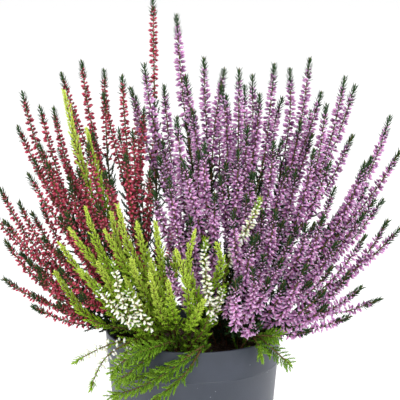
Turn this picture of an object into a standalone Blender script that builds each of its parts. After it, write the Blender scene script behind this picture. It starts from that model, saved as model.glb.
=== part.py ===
"""Potted heather: three bud heathers, crimson, mauve and white, in one round plastic pot.

Every spray is a stem that stands in its own hole in the soil and carries up to five
spikes. The florets of a spike are raised by formula: rings of four corners, two of them
drawn out, turned a quarter from ring to ring, so the florets stand in crossed pairs.
Measures are millimetres until the vertices are made. The front faces -Y and Z is up.
"""
import math

import bmesh
import bpy
import numpy as np
from mathutils import Vector

MM = 0.001
FIT = 0.3

POT_HEIGHT = 125.0
RIM_RADIUS = 66.0
POT_BASE_RADIUS = 55.0
POT_WALL = 1.8
POT_FLOOR = 2.4
RIM_ROUND = 0.7
RING_HEIGHT = 101.0
RING_OUT = 0.5
POT_STEPS = 40

SOIL_BELOW_RIM = 12.0
SOIL_CROWN = 1.2
SOIL_STEPS = 24

STEM_RADIUS = 1.1
STEM_DEPTH = 14.0
STEM_UPRIGHT = 4.0
HOLE_SPACING = 8.2
HOLE_LIMIT = 55.0
HOLE_ROUNDS = 400
CROWNS = {
    "red": (-30.0, 13.0),
    "pink": (28.0, 15.0),
    "white": (-8.0, -32.0),
    "lime": (-8.0, -26.0),
    "brush": (8.0, -44.0),
}
CROWN_SPREAD = 0.15

# Radius of a spike over its florets, then the lengths of its leafy tip, its run of florets
# and the leafy stem below them, the pitch of the floret rings and the leafy stem's radius.
# The brush has short leafy shoots where the others have florets.
KINDS = {
    "red": (4.0, 10.0, 66.0, 44.0, 17.0, 3.0),
    "pink": (5.3, 13.0, 72.0, 42.0, 17.0, 3.4),
    "white": (4.8, 6.0, 58.0, 44.0, 14.0, 4.0),
    "lime": (5.2, 3.0, 70.0, 36.0, 15.0, 3.6),
    "brush": (5.8, 3.0, 66.0, 26.0, 14.0, 4.2),
}
LEAFY_PITCH = 28.0
BARE_PITCH = 40.0
CORE_SHARE = 0.48

# The tips stand on a dome round this centre.
DOME_WIDTH = 160.0
DOME_DEPTH = 116.0
DOME_CENTRE = (0.0, 4.0, 165.0)
DOME_RISE = 172.0
DOME_DROP = 72.0
# The front sprays are set out as they look from this far in front and this far above level.
SIGHT_DISTANCE = 1400.0
SIGHT_SLOPE = math.tan(math.radians(12.1))
SIGHT_CENTRE = (5.0, 224.0)

# Kind, place across, height as seen, how far nearer than the dome's centre (None: on the
# dome) and number of spikes of every spray in the front half.
FRONT_SPRAYS = (
    ("red", -144, 233, None, 4),
    ("red", -140, 194, None, 4),
    ("red", -130, 222, None, 4),
    ("red", -126, 305, None, 4),
    ("red", -103, 293, None, 4),
    ("red", -82, 328, None, 4),
    ("red", -52, 317, None, 4),
    ("red", -29, 374, None, 1),
    ("red", -108, 252, None, 5),
    ("red", -78, 266, None, 4),
    ("red", -50, 258, None, 4),
    ("red", -94, 214, None, 5),
    ("red", -116, 166, None, 3),
    ("pink", -36, 326, None, 4),
    ("pink", -12, 362, None, 1),
    ("pink", 8, 330, None, 5),
    ("pink", 34, 322, None, 4),
    ("pink", 60, 326, None, 4),
    ("pink", 86, 330, None, 5),
    ("pink", 112, 316, None, 4),
    ("pink", 146, 287, None, 3),
    ("pink", -12, 286, None, 4),
    ("pink", -18, 240, None, 4),
    ("pink", 8, 266, None, 4),
    ("pink", 34, 262, None, 4),
    ("pink", 60, 268, None, 5),
    ("pink", 90, 262, None, 5),
    ("pink", 128, 252, None, 4),
    ("pink", 30, 216, None, 4),
    ("pink", 62, 216, None, 5),
    ("pink", 98, 212, None, 5),
    ("pink", 146, 208, None, 4),
    ("pink", 44, 172, None, 4),
    ("pink", 86, 174, None, 4),
    ("pink", 118, 168, None, 4),
    ("pink", -20, 180, 108, 1),
    ("white", -62, 178, 106, 3),
    ("white", 11, 194, 106, 2),
    ("white", 49, 226, 92, 1),
    ("lime", -80, 216, None, 4),
    ("lime", -56, 219, None, 5),
    ("lime", -28, 205, None, 5),
    ("lime", 2, 199, None, 4),
    ("lime", -95, 305, 48, 2),
    ("lime", -98, 190, None, 3),
)
# Sprays that hang over the rim: kind, spikes, and the way of the stem above its hole.
HANGING_SPRAYS = (
    ("brush", 3, (
        (8, -52, 117), (11, -62, 137), (6, -78, 129), (-18, -82, 110), (-42, -76, 96), (-60, -64, 92),
    )),
    ("brush", 3, (
        (-12, -50, 117), (-14, -62, 138), (-24, -76, 131), (-44, -76, 121), (-64, -64, 116),
    )),
    ("white", 3, (
        (-26, -42, 117), (-36, -56, 136), (-52, -68, 137), (-68, -66, 124), (-76, -60, 108), (-75, -58, 93),
    )),
    ("brush", 3, (
        (34, -40, 117), (42, -50, 136), (54, -57, 133), (65, -56, 122), (72, -54, 112),
    )),
)
# The back half: kind, turn round the pot in degrees from +X, height on the dome, spikes.
BACK_SPRAYS = (
    ("pink", 12, 232, 4),
    ("pink", 32, 284, 4),
    ("pink", 64, 300, 4),
    ("pink", 72, 226, 4),
    ("pink", 92, 264, 4),
    ("red", 96, 196, 4),
    ("red", 116, 290, 4),
    ("red", 132, 224, 4),
    ("red", 150, 284, 4),
)

# How far a side spike's tip stands beside, below and before the main spike's tip.
SIDE_STEP = (11.0, 16.0)
SIDE_LOWER = (6.0, 30.0)
SIDE_FORE = (-9.0, 9.0)
TIER_LOWER = 27.0
TIER_FORE = 8.0
POINT_PITCH = 6.0
# Rounds of bending the spikes clear of each other, and the gap they keep.
SETTLE_ROUNDS = 360
SETTLE_GAP = 2.0
SETTLE_STEP = 2.5
PAIR_SLACK = 8.0
RIM_CLEAR = 3.6
STEM_HELD = 24.0
STEM_FREE = 40.0
SEED = 41

COLOURS = {
    "red": (0.36, 0.02, 0.05),
    "pink": (0.40, 0.10, 0.25),
    "white": (0.80, 0.78, 0.66),
    "lime": (0.36, 0.46, 0.05),
    "brush": (0.12, 0.22, 0.03),
    "pot": (0.085, 0.10, 0.13),
    "soil": (0.035, 0.022, 0.014),
}


def clear_scene():
    for thing in list(bpy.data.objects):
        bpy.data.objects.remove(thing, do_unlink=True)


def new_collection(name):
    collection = bpy.data.collections.new(name)
    bpy.context.scene.collection.children.link(collection)
    return collection


def new_material(name, colour, roughness):
    material = bpy.data.materials.new(name)
    material.use_nodes = True
    shader = material.node_tree.nodes["Principled BSDF"]
    shader.inputs["Base Color"].default_value = (*colour, 1.0)
    shader.inputs["Roughness"].default_value = roughness
    shader.inputs["Metallic"].default_value = 0.0
    return material


def make_active(thing):
    bpy.ops.object.select_all(action="DESELECT")
    thing.select_set(True)
    bpy.context.view_layer.objects.active = thing


def turned(name, profile, steps, collection):
    """A solid turned about Z from a profile of radius and height, both ends on the axis."""
    mesh = bpy.data.meshes.new(name)
    points = [(radius * MM, 0.0, height * MM) for radius, height in profile]
    mesh.from_pydata(points, [(i, i + 1) for i in range(len(points) - 1)], [])
    thing = bpy.data.objects.new(name, mesh)
    collection.objects.link(thing)
    screw = thing.modifiers.new("turn", "SCREW")
    screw.steps = steps
    screw.render_steps = steps
    screw.use_merge_vertices = True
    screw.merge_threshold = 0.0001
    screw.use_normal_calculate = True
    make_active(thing)
    bpy.ops.object.modifier_apply(modifier=screw.name)
    return thing


def wall_radius(height):
    """Radius of the pot's outside at this height."""
    return POT_BASE_RADIUS + (RIM_RADIUS - POT_BASE_RADIUS) * height / POT_HEIGHT


def build_pot(collection):
    inside_low = wall_radius(POT_FLOOR) - POT_WALL
    inside = RIM_RADIUS - POT_WALL
    profile = (
        (0.0, POT_FLOOR),
        (inside_low, POT_FLOOR),
        (inside, POT_HEIGHT - RIM_ROUND),
        (inside + RIM_ROUND * 0.6, POT_HEIGHT),
        (RIM_RADIUS - RIM_ROUND, POT_HEIGHT),
        (RIM_RADIUS, POT_HEIGHT - RIM_ROUND),
        (wall_radius(RING_HEIGHT) + 0.1, RING_HEIGHT + RING_OUT * 2),
        (wall_radius(RING_HEIGHT) + RING_OUT, RING_HEIGHT + RING_OUT),
        (wall_radius(RING_HEIGHT) + RING_OUT, RING_HEIGHT),
        (wall_radius(RING_HEIGHT), RING_HEIGHT - RING_OUT),
        (wall_radius(1.2), 1.2),
        (POT_BASE_RADIUS - 1.0, 0.0),
        (0.0, 0.0),
    )
    pot = turned("pot", profile, POT_STEPS, collection)
    pot.data.materials.append(new_material("pot", COLOURS["pot"], 0.42))
    make_active(pot)
    bpy.ops.object.shade_smooth_by_angle(angle=math.radians(35))
    return pot


def build_soil(collection, cutters, holes):
    """Peat that fills the pot, with a plain square hole for every stem."""
    top = POT_HEIGHT - SOIL_BELOW_RIM
    top_radius = wall_radius(top) - POT_WALL - FIT
    profile = (
        (0.0, top + SOIL_CROWN),
        (top_radius * 0.7, top + SOIL_CROWN * 0.6),
        (top_radius, top),
        (wall_radius(POT_FLOOR) - POT_WALL - FIT * 2, POT_FLOOR + FIT),
        (0.0, POT_FLOOR + FIT),
    )
    soil = turned("soil", profile, SOIL_STEPS, collection)
    soil.data.materials.append(new_material("soil", COLOURS["soil"], 0.95))
    hole_radius = STEM_RADIUS + FIT * math.sqrt(2)
    depth = STEM_DEPTH + FIT + SOIL_CROWN * 3
    for x, y in holes:
        bpy.ops.mesh.primitive_cylinder_add(
            vertices=4,
            radius=hole_radius * MM,
            depth=depth * MM,
            location=(x * MM, y * MM, (top - STEM_DEPTH - FIT + depth / 2) * MM),
        )
        cutter = bpy.context.object
        for other in cutter.users_collection:
            other.objects.unlink(cutter)
        cutters.objects.link(cutter)
        cutter.display_type = "WIRE"
        cutter.hide_render = True
    cut = soil.modifiers.new("holes", "BOOLEAN")
    cut.operation = "DIFFERENCE"
    cut.operand_type = "COLLECTION"
    cut.collection = cutters
    cut.solver = "EXACT"
    make_active(soil)
    bpy.ops.object.modifier_apply(modifier=cut.name)
    for cutter in list(cutters.objects):
        bpy.data.objects.remove(cutter, do_unlink=True)
    return soil


def unit(vector):
    return vector / max(float(np.linalg.norm(vector)), 1e-9)


def front_tip(across, seen, nearer):
    """Where a tip stands that looks to be at this place across and this height."""
    rise = DOME_RISE if seen > DOME_CENTRE[2] else DOME_DROP
    if nearer is None:
        left = 1.0 - (across / DOME_WIDTH) ** 2 - ((seen - DOME_CENTRE[2]) / rise) ** 2
        nearer = DOME_DEPTH * math.sqrt(max(0.0, left))
    shrink = 1.0 - nearer / SIGHT_DISTANCE
    x = SIGHT_CENTRE[0] + (across - SIGHT_CENTRE[0]) * shrink
    z = SIGHT_CENTRE[1] + (seen - SIGHT_CENTRE[1]) * shrink + nearer * SIGHT_SLOPE
    return np.array([x, DOME_CENTRE[1] - nearer, z])


def back_tip(turn, height):
    rise = DOME_RISE if height > DOME_CENTRE[2] else DOME_DROP
    ring = math.sqrt(max(0.05, 1.0 - ((height - DOME_CENTRE[2]) / rise) ** 2))
    angle = math.radians(turn)
    return np.array([
        DOME_WIDTH * 0.92 * ring * math.cos(angle),
        DOME_CENTRE[1] + DOME_DEPTH * ring * math.sin(angle),
        height,
    ])


def plan_sprays():
    """Kind, tip, number of spikes and, if it hangs, the way of every spray."""
    plan = []
    for kind, across, seen, nearer, count in FRONT_SPRAYS:
        plan.append((kind, front_tip(across, seen, nearer), count, None))
    for kind, count, points in HANGING_SPRAYS:
        way = np.array(points, float)
        plan.append((kind, way[-1], count, way))
    for kind, turn, height, count in BACK_SPRAYS:
        plan.append((kind, back_tip(turn, height), count, None))
    return plan


def plan_holes(plan):
    """Holes near each plant's crown, in the order of the tips and spread to clear each other."""
    spots = []
    for kind, tip, _, way in plan:
        crown = np.array(CROWNS[kind])
        spots.append(crown + CROWN_SPREAD * (tip[:2] - crown) if way is None else way[0, :2])
    spots = np.array(spots)
    for _ in range(HOLE_ROUNDS):
        apart = spots[:, None] - spots[None]
        far = np.sqrt((apart ** 2).sum(2)) + 1e-6
        short = np.clip(HOLE_SPACING - far, 0.0, None)
        np.fill_diagonal(short, 0.0)
        spots += 0.25 * (apart / far[..., None] * short[..., None]).sum(1)
        ring = np.linalg.norm(spots, axis=1)
        spots *= np.minimum(1.0, HOLE_LIMIT / ring)[:, None]
    return np.round(spots, 1)


def resampled(points, pitch):
    """The same curve with evenly spaced points."""
    steps = np.linalg.norm(np.diff(points, axis=0), axis=1)
    along = np.concatenate(([0.0], np.cumsum(steps)))
    count = max(4, int(round(along[-1] / pitch)) + 1)
    places = np.linspace(0.0, along[-1], count)
    return np.stack([np.interp(places, along, points[:, i]) for i in range(3)], axis=1)


def curve_through(start, first, second, end):
    t = np.linspace(0.0, 1.0, 60)[:, None]
    return (1 - t) ** 3 * start + 3 * (1 - t) ** 2 * t * first + 3 * (1 - t) * t * t * second + t ** 3 * end


def curve_along(way):
    """A smooth line through the given points."""
    ends = np.concatenate((2 * way[:1] - way[1:2], way, 2 * way[-1:] - way[-2:-1]))
    spans = []
    for before, start, end, after in zip(ends, ends[1:], ends[2:], ends[3:]):
        spans.append(curve_through(start, start + (end - before) / 6, end - (after - start) / 6, end))
    return np.concatenate(spans)


def stem_line(hole, tip, way):
    """The middle line of a spray's main spike: straight up out of its hole, outward, then up."""
    soil_top = POT_HEIGHT - SOIL_BELOW_RIM
    start = np.array([hole[0], hole[1], soil_top + STEM_UPRIGHT])
    up = np.array([0.0, 0.0, 1.0])
    if way is not None:
        curve = curve_along(np.concatenate((start[None], way[1:])))
    else:
        reach = float(np.linalg.norm(tip - start))
        ahead = unit(tip - start)
        first = start + unit(0.85 * ahead + 0.15 * up) * reach * 0.34
        second = tip - unit(0.24 * ahead + 0.76 * up) * reach * 0.38
        curve = curve_through(start, first, second, tip)
    foot = np.array([[hole[0], hole[1], soil_top - STEM_DEPTH]])
    return np.concatenate((foot, resampled(curve, POINT_PITCH)))


def side_line(main, tip, branch):
    """A side spike that leaves the main stem at one of its points and ends beside its tip."""
    start = main[branch]
    ahead = unit(main[branch + 1] - start)
    end_way = unit(main[-1] - main[-4])
    reach = float(np.linalg.norm(tip - start))
    sideways = unit(tip - start)
    first = start + unit(0.45 * ahead + 0.55 * sideways) * reach * 0.36
    second = tip - unit(0.8 * end_way + 0.2 * sideways) * reach * 0.36
    return resampled(curve_through(start, first, second, tip), POINT_PITCH)


def draw_sprays(plan, holes):
    """Every spike's line, before they are bent clear of each other."""
    spikes = []
    for index, ((kind, tip, count, bends), hole) in enumerate(zip(plan, holes)):
        rng = np.random.default_rng(SEED + index)
        main = stem_line(hole, tip, bends)
        spikes.append([index, kind, 0, main, None])
        way = unit(main[-1] - main[-4])
        facing = -1.0 if tip[1] < DOME_CENTRE[1] + 20.0 else 1.0
        across = unit(np.cross(way, [tip[0] / DOME_WIDTH * 0.5, facing, 0.25]))
        outward = np.cross(across, way)
        outward *= math.copysign(1.0, outward[1] * facing)
        _, tuft, florets, leafy, _, _ = KINDS[kind]
        for side in range(1, count):
            hand = 1.0 if side % 2 else -1.0
            tier = (side - 1) // 2
            step = rng.uniform(*SIDE_STEP) * (1.0 - 0.4 * tier)
            lower = rng.uniform(*SIDE_LOWER) + TIER_LOWER * tier
            fore = rng.uniform(*SIDE_FORE) + TIER_FORE * tier
            end = tip + across * hand * step - way * lower + outward * fore
            run = tuft + florets + leafy * rng.uniform(0.3, 0.7) + lower
            branch = int(np.clip(len(main) - 1 - round(run / POINT_PITCH), 4, len(main) - 7))
            spikes.append([index, kind, side, side_line(main, end, branch), branch])
    return spikes


def zones(kind, length, is_main):
    """Lengths of the leafy tip, the florets and the leafy stem on a spike of this length."""
    _, tuft, florets, leafy, _, _ = KINDS[kind]
    room = length - tuft - (STEM_DEPTH + 16.0 if is_main else 8.0)
    florets = min(florets, 0.72 * room)
    return tuft, florets, min(leafy, room - florets)


def radius_at(kind, to_tip, length, is_main):
    """Radius of a spike this far below its tip."""
    radius, leafy_radius = KINDS[kind][0], KINDS[kind][5]
    tuft, florets, leafy = zones(kind, length, is_main)
    low = tuft + florets
    places = (0.0, tuft, low, low + 6.0, low + leafy, low + leafy + 8.0)
    sizes = (0.6, radius, radius, leafy_radius, leafy_radius, STEM_RADIUS)
    return np.interp(to_tip, places, sizes)


def settle(spikes):
    """Bends the spikes until those of different sprays, and the pot's rim, clear each other."""
    lines = [spike[3] for spike in spikes]
    sizes = [len(line) for line in lines]
    starts = np.concatenate(([0], np.cumsum(sizes)))[:-1]
    points = np.concatenate(lines)
    home = points.copy()
    owner = np.concatenate([np.full(n, spike[0]) for n, spike in zip(sizes, spikes)])
    spike_of = np.concatenate([np.full(n, i) for i, n in enumerate(sizes)])
    radius = np.empty(len(points))
    loose = np.empty(len(points))
    for (_, kind, side, line, _), start, size in zip(spikes, starts, sizes):
        steps = np.linalg.norm(np.diff(line, axis=0), axis=1)
        along = np.concatenate(([0.0], np.cumsum(steps)))
        radius[start:start + size] = radius_at(kind, along[-1] - along, along[-1], side == 0)
        free = np.clip((along - (STEM_HELD if side == 0 else 0.0)) / STEM_FREE, 0.0, 1.0)
        loose[start:start + size] = free
    first = np.zeros(len(points), bool)
    last = np.zeros(len(points), bool)
    first[starts] = True
    last[starts + np.array(sizes) - 1] = True
    inner_at = np.nonzero(~(first | last))[0]
    checked = points + 1e3
    for turn in range(SETTLE_ROUNDS):
        if np.abs(points - checked).max() > PAIR_SLACK / 4:
            checked = points.copy()
            one, two = near_pairs(points, spike_of)
        away = points[one] - points[two]
        far = np.linalg.norm(away, axis=1) + 1e-6
        same = owner[one] == owner[two]
        wanted = (radius[one] + radius[two]) * np.where(same, 0.8, 1.0) + np.where(same, 0.0, SETTLE_GAP)
        wanted = np.where(same & (loose[one] + loose[two] < 1.3), 0.0, wanted)
        short = np.clip(wanted - far, 0.0, None)
        weight = loose[one] + loose[two] + 1e-6
        push = away / far[:, None] * (short / weight)[:, None]
        shift = np.zeros_like(points)
        np.add.at(shift, one, push * loose[one][:, None])
        np.add.at(shift, two, -push * loose[two][:, None])
        shift = np.clip(shift, -SETTLE_STEP, SETTLE_STEP)
        shift += rim_push(points, radius) * loose[:, None]
        for _ in range(2):
            smooth = shift.copy()
            smooth[inner_at] = 0.5 * shift[inner_at] + 0.25 * (shift[inner_at - 1] + shift[inner_at + 1])
            smooth[last] = 0.5 * shift[last] + 0.5 * shift[np.nonzero(last)[0] - 1]
            shift = smooth
        points = points + shift * loose[:, None] ** 0.3
        stiff = np.zeros_like(points)
        stiff[inner_at] = 0.5 * (points[inner_at - 1] + points[inner_at + 1]) - points[inner_at]
        points += 0.12 * stiff * loose[:, None]
        if turn < SETTLE_ROUNDS * 0.6:
            points += 0.015 * (home - points)
        for i, spike in enumerate(spikes):
            if spike[4] is None:
                continue
            main_start = starts[i - spike[2]]
            gap = points[main_start + spike[4]] - points[starts[i]]
            fade = np.clip(1.0 - np.arange(sizes[i]) / 5.0, 0.0, 1.0)[:, None]
            points[starts[i]:starts[i] + sizes[i]] += gap * fade
    return [points[a:a + n] for a, n in zip(starts, sizes)]


def near_pairs(points, spike_of):
    """Pairs of points of different spikes that may come to touch soon."""
    reach = 2 * max(kind[0] for kind in KINDS.values()) + SETTLE_GAP + PAIR_SLACK
    square = (points ** 2).sum(1)
    near = square[:, None] + square[None] - 2.0 * points @ points.T < reach ** 2
    near &= spike_of[:, None] != spike_of[None]
    return np.nonzero(np.triu(near, 1))


def rim_push(points, radius):
    """Keeps what hangs over the rim off the pot."""
    push = np.zeros_like(points)
    ring = np.hypot(points[:, 0], points[:, 1]) + 1e-6
    outward = points[:, :2] / ring[:, None]
    over = ring - (RIM_RADIUS - 1.0)
    above = points[:, 2] - POT_HEIGHT
    beside = (above < 0) & (over > -4.0)
    short = np.where(beside, radius + RIM_CLEAR - over, 0.0)
    push[:, :2] += outward * np.clip(short, 0.0, SETTLE_STEP)[:, None]
    far = np.hypot(over, above) + 1e-6
    close = np.where(beside, 0.0, np.clip(radius + RIM_CLEAR - far, 0.0, SETTLE_STEP))
    push[:, :2] += outward * (close * over / far)[:, None]
    push[:, 2] += close * above / far
    return push


def cross_frames(line):
    """Two directions across the line at each point, carried along it without twist."""
    ways = np.gradient(line, axis=0)
    ways /= np.linalg.norm(ways, axis=1)[:, None]
    one = np.array([1.0, 0.0, 0.0])
    ones = []
    for way in ways:
        one = unit(one - way * float(one @ way))
        ones.append(one)
    ones = np.array(ones)
    return ways, ones, np.cross(ways, ones)


def ring_places(kind, length, main):
    """Distance below the tip, drawn-out radius and core radius of every ring."""
    radius, _, _, _, pitch, leafy_radius = KINDS[kind]
    tuft, florets, leafy = zones(kind, length, main)
    rings = [(tuft * 0.45, radius * 0.45, 0.7)]
    count = int(florets / pitch)
    for i in range(count):
        swell = 1.0 - 0.22 * (1.0 - i / max(1, count - 1)) ** 2
        rings.append((tuft + i * pitch, radius * swell, radius * CORE_SHARE))
    end = length - (STEM_DEPTH + 8.0 if main else 5.0)
    place = tuft + count * pitch
    leaf_end = min(tuft + florets + leafy, end - 8.0)
    while place < leaf_end:
        rings.append((place, leafy_radius, leafy_radius * CORE_SHARE))
        place += LEAFY_PITCH
    if main:
        bare = max(1, int(round((end - rings[-1][0]) / BARE_PITCH)))
        step = (end - rings[-1][0]) / bare
        for i in range(bare):
            rings.append((rings[-1][0] + step, STEM_RADIUS, STEM_RADIUS))
        rings.append((length, STEM_RADIUS, STEM_RADIUS))
    else:
        rings.append((length, 0.8, 0.8))
    return rings


def spike_mesh(name, kind, line, branches):
    """One spike. A main spike has a ring at each of the points where a side spike leaves it."""
    main = branches is not None
    steps = np.linalg.norm(np.diff(line, axis=0), axis=1)
    along = np.concatenate(([0.0], np.cumsum(steps)))
    ways, ones, twos = cross_frames(line)
    form = bmesh.new()
    rings = ring_places(kind, along[-1], main)
    movable = list(range(1, len(rings) - 2))
    for branch in sorted(branches or ()):
        place = along[-1] - along[branch]
        nearest = min(movable, key=lambda number: abs(rings[number][0] - place))
        movable.remove(nearest)
        rings[nearest] = (place, *rings[nearest][1:])
    rings.sort(key=lambda ring: ring[0])

    def spot(table, place):
        return np.array([np.interp(place, along, table[:, i]) for i in range(3)])

    rows = []
    for number, (to_tip, out, core) in enumerate(reversed(rings)):
        place = along[-1] - to_tip
        centre = spot(line, place)
        upright = main and place < STEM_DEPTH + 9.0
        one = np.array([1.0, 0.0, 0.0]) if upright else unit(spot(ones, place))
        two = np.array([0.0, 1.0, 0.0]) if upright else unit(spot(twos, place))
        if upright:
            centre[:2] = line[0, :2]
        row = []
        for corner in range(4):
            size = out if (corner + number) % 2 == 0 else core
            cross = (one, two, -one, -two)[corner]
            row.append(form.verts.new(Vector(centre + cross * size) * MM))
        rows.append(row)
    tip = form.verts.new(Vector(line[-1]) * MM)
    form.faces.new(list(reversed(rows[0])))
    for number, (low, high) in enumerate(zip(rows, rows[1:])):
        for corner in range(4):
            beside = (corner + 1) % 4
            if (corner + number) % 2 == 0:
                form.faces.new((low[corner], low[beside], high[corner]))
                form.faces.new((low[beside], high[beside], high[corner]))
            else:
                form.faces.new((low[corner], low[beside], high[beside]))
                form.faces.new((low[corner], high[beside], high[corner]))
    for corner in range(4):
        form.faces.new((rows[-1][corner], rows[-1][(corner + 1) % 4], tip))
    bmesh.ops.triangulate(form, faces=form.faces)
    mesh = bpy.data.meshes.new(name)
    form.to_mesh(mesh)
    form.free()
    return mesh


def keep_largest(mesh):
    """Drops the slivers that a union can leave where two spikes of a spray graze each other."""
    form = bmesh.new()
    form.from_mesh(mesh)
    left = set(form.verts)
    islands = []
    while left:
        island = [left.pop()]
        for corner in island:
            for edge in corner.link_edges:
                other = edge.other_vert(corner)
                if other in left:
                    left.remove(other)
                    island.append(other)
        islands.append(island)
    islands.sort(key=len)
    slivers = [corner for island in islands[:-1] for corner in island]
    bmesh.ops.delete(form, geom=slivers, context="VERTS")
    form.to_mesh(mesh)
    form.free()


def build_spray(name, kind, lines, branches, collection, material):
    """One spray: the main spike with its side spikes joined to it."""
    main = bpy.data.objects.new(name, spike_mesh(name, kind, lines[0], branches))
    collection.objects.link(main)
    if len(lines) > 1:
        sides = new_collection(name + "_sides")
        for number, line in enumerate(lines[1:]):
            part = name + "_side_" + str(number)
            side = bpy.data.objects.new(part, spike_mesh(part, kind, line, None))
            sides.objects.link(side)
        join = main.modifiers.new("join", "BOOLEAN")
        join.operation = "UNION"
        join.operand_type = "COLLECTION"
        join.collection = sides
        join.solver = "EXACT"
        make_active(main)
        bpy.ops.object.modifier_apply(modifier=join.name)
        for side in list(sides.objects):
            bpy.data.objects.remove(side, do_unlink=True)
        bpy.data.collections.remove(sides)
        keep_largest(main.data)
    main.data.materials.clear()
    main.data.materials.append(material)
    return main


def main():
    clear_scene()
    collection = new_collection("potted_heather")
    cutters = new_collection("cutters")
    plan = plan_sprays()
    holes = plan_holes(plan)
    build_pot(collection)
    build_soil(collection, cutters, holes)
    spikes = draw_sprays(plan, holes)
    lines = settle(spikes)
    counts = {}
    for index, (kind, _, _, _) in enumerate(plan):
        counts[kind] = counts.get(kind, 0) + 1
        name = "%s_spray_%02d" % (kind, counts[kind])
        own = [i for i, spike in enumerate(spikes) if spike[0] == index]
        material = bpy.data.materials.get(kind) or new_material(kind, COLOURS[kind], 0.7)
        branches = {spikes[i][4] for i in own[1:]}
        build_spray(name, kind, [lines[i] for i in own], branches, collection, material)


main()
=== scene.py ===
"""Looks of the potted heather: crimson, mauve and white bud heathers in one plastic pot.

Buds, scale leaves and leafy shoots are set along the same stem lines as the part's solids.
Lengths are millimetres until the vertices are made. The front faces -Y and Z is up.
"""
import math

import bpy
import numpy as np
from bpy.props import FloatProperty, FloatVectorProperty, IntProperty, PointerProperty
from bpy.types import Operator, Panel, PropertyGroup
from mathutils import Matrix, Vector


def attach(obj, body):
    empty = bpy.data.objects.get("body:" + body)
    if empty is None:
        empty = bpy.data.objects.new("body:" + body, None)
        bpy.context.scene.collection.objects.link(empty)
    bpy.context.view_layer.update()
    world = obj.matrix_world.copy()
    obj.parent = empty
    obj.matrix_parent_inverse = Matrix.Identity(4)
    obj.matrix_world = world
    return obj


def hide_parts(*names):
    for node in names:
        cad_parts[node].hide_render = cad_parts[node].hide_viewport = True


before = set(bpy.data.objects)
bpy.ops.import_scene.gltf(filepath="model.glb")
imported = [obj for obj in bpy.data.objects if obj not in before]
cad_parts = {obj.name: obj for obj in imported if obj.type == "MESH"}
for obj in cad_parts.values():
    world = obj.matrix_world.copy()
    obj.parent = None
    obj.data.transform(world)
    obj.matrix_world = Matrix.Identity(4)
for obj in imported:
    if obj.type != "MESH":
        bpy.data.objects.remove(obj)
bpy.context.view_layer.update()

bl_info = {
    "name": "Potted Heather",
    "version": (1, 0, 0),
    "blender": (4, 5, 0),
    "location": "3D View > Sidebar > Heather",
    "description": "Dresses the potted heather with buds, leaves, plastic and peat",
    "category": "Object",
}

MM = 0.001
BODY = "root"

# Pot and stem lines, set out as in the part's solids.
POT_HEIGHT = 125.0
RIM_RADIUS = 66.0
POT_BASE_RADIUS = 55.0
POT_WALL = 1.8
POT_FLOOR = 2.4
RING_HEIGHT = 101.0
RING_OUT = 0.5
FOOT_ROUND = 1.4
POT_TURNS = 96

SOIL_BELOW_RIM = 12.0

STEM_RADIUS = 1.1
STEM_DEPTH = 14.0
STEM_UPRIGHT = 4.0
HOLE_SPACING = 8.2
HOLE_LIMIT = 55.0
HOLE_ROUNDS = 400
CROWNS = {
    "red": (-30.0, 13.0),
    "pink": (28.0, 15.0),
    "white": (-8.0, -32.0),
    "lime": (-8.0, -26.0),
    "brush": (8.0, -44.0),
}
CROWN_SPREAD = 0.15

# Radius of a spike over its buds, then the lengths of its leafy tip, its run of buds and the
# leafy stem below them, and the leafy stem's radius. The lime spikes and the brushes have
# short leafy shoots where the others have buds.
KINDS = {
    "red": (4.0, 10.0, 66.0, 44.0, 3.0),
    "pink": (5.3, 13.0, 72.0, 42.0, 3.4),
    "white": (4.8, 6.0, 58.0, 44.0, 4.0),
    "lime": (5.2, 3.0, 70.0, 36.0, 3.6),
    "brush": (5.8, 3.0, 66.0, 26.0, 4.2),
}

# The tips stand on a dome round this centre.
DOME_WIDTH = 160.0
DOME_DEPTH = 116.0
DOME_CENTRE = (0.0, 4.0, 165.0)
DOME_RISE = 172.0
DOME_DROP = 72.0
# The front sprays are set out as they look from this far in front and this far above level.
SIGHT_DISTANCE = 1400.0
SIGHT_SLOPE = math.tan(math.radians(12.1))
SIGHT_CENTRE = (5.0, 224.0)

# The front half by kind: place across, height as seen and number of spikes of each spray. A
# fourth value is how far nearer than the dome's centre it stands, where it isn't on the dome.
FRONT_SPRAYS = {
    "red": (
        (-144, 233, 4), (-140, 194, 4), (-130, 222, 4), (-126, 305, 4), (-103, 293, 4),
        (-82, 328, 4), (-52, 317, 4), (-29, 374, 1), (-108, 252, 5), (-78, 266, 4), (-50, 258, 4),
        (-94, 214, 5), (-116, 166, 3),
    ),
    "pink": (
        (-36, 326, 4), (-12, 362, 1), (8, 330, 5), (34, 322, 4), (60, 326, 4), (86, 330, 5),
        (112, 316, 4), (146, 287, 3), (-12, 286, 4), (-18, 240, 4), (8, 266, 4), (34, 262, 4),
        (60, 268, 5), (90, 262, 5), (128, 252, 4), (30, 216, 4), (62, 216, 5), (98, 212, 5),
        (146, 208, 4), (44, 172, 4), (86, 174, 4), (118, 168, 4), (-20, 180, 1, 108),
    ),
    "white": (
        (-62, 178, 3, 106), (11, 194, 2, 106), (49, 226, 1, 92),
    ),
    "lime": (
        (-80, 216, 4), (-56, 219, 5), (-28, 205, 5), (2, 199, 4), (-95, 305, 2, 48), (-98, 190, 3),
    ),
}
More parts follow.
